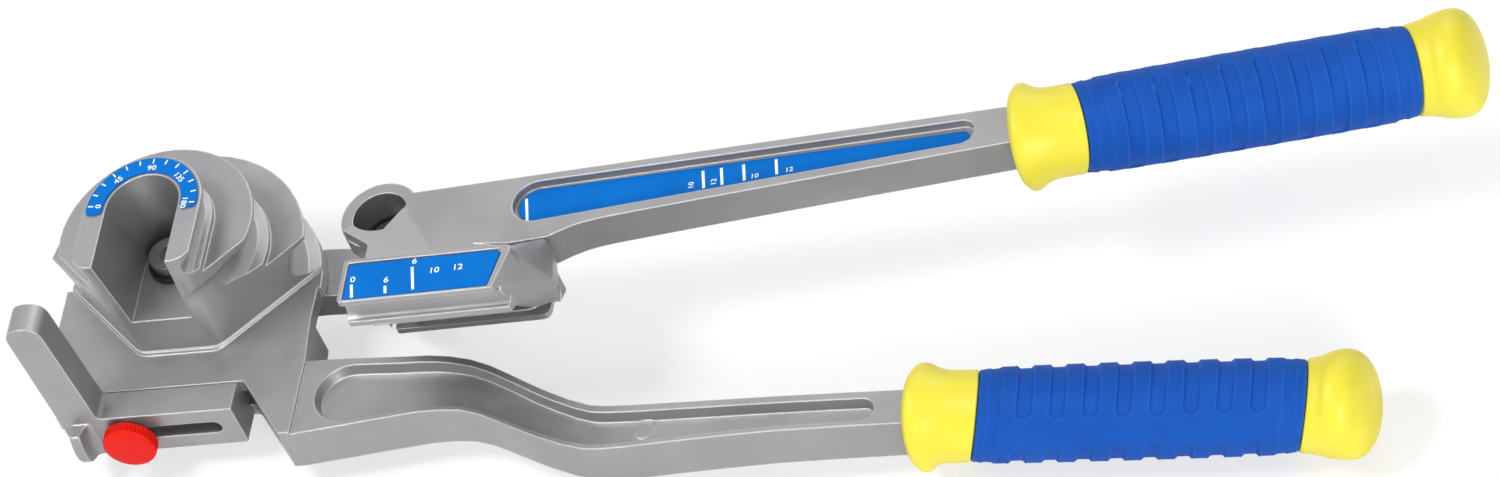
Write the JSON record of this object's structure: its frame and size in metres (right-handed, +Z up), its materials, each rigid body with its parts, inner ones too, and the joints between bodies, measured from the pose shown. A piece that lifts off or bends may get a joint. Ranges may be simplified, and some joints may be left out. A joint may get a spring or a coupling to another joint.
{
  "type": "ratchet tube bender",
  "caption": "Hand tube bender with a stepped grooved mandrel, a link-mounted ratcheting shoe lever, a sliding tube hook and two rubber-sleeved handles.",
  "frame": {"origin": "centre of the mandrel pivot bolt's lower end, on the surface that the tool lies on", "axes": "+X along the fixed handle towards its grip, +Y away from the tube hook, +Z up along the pivots, towards the mandrel's small groove"},
  "size_m": [0.3678, 0.1047, 0.0569],
  "materials": {
    "cast_aluminium": "shot-blasted die casting",
    "steel": "zinc plated",
    "dark_steel": "black oxide",
    "blue_rubber": "matt, moulded slots",
    "yellow_plastic": "satin moulding",
    "red_plastic": "moulded, ribbed rim",
    "blue_label": "printed label"
  },
  "bodies": {
    "frame": {"body_casting": "cast_aluminium", "angle_scale": "blue_label", "pivot_bolt": "dark_steel", "pivot_head_washer": "dark_steel", "pivot_lock_nut": "steel", "pivot_thrust_washer": "steel", "fixed_grip_core": "yellow_plastic", "fixed_grip_sleeve": "blue_rubber"},
    "hook": {"hook": "cast_aluminium"},
    "knob": {"clamp_knob": "red_plastic", "clamp_screw": "steel", "clamp_washer": "steel"},
    "link": {"link_arm": "cast_aluminium", "link_bush": "steel"},
    "lever": {"lever_casting": "cast_aluminium", "lever_pivot_screw": "steel", "lever_lock_nut": "steel", "lever_thrust_washer": "steel", "ratchet_cover": "steel", "cover_screw_1": "dark_steel", "cover_screw_2": "dark_steel", "cover_screw_3": "dark_steel", "pawl_pin": "dark_steel", "handle_scale": "blue_label", "shoe_scale": "blue_label", "lever_grip_core": "yellow_plastic", "lever_grip_sleeve": "blue_rubber"},
    "pawl": {"ratchet_pawl": "steel"}
  },
  "joints": [
    {"name": "link_swing", "type": "hinge", "parent": "frame", "child": "link", "pos_m": [0, 0, 0.0125], "axis": [0, 0, 1], "range_deg": [0, 182]},
    {"name": "lever_swing", "type": "hinge", "parent": "link", "child": "lever", "pos_m": [0.05618, 0.00359, 0.0125], "axis": [0, 0, 1], "range_deg": [-92.5, 20]},
    {"name": "pawl_swing", "type": "hinge", "parent": "lever", "child": "pawl", "pos_m": [0.07686, -0.00635, 0.0239], "axis": [0, 0, 1], "range_deg": [-8, 0], "stiffness_Nm_per_rad": 0.02},
    {"name": "hook_slide", "type": "slide", "parent": "frame", "child": "hook", "axis": [-1, 0, 0], "range_m": [0, 0.02]},
    {"name": "knob_turn", "type": "hinge", "parent": "frame", "child": "knob", "pos_m": [-0.0113, -0.0385, 0.0137], "axis": [0, 1, 0], "range_deg": [0, 360]}
  ]
}
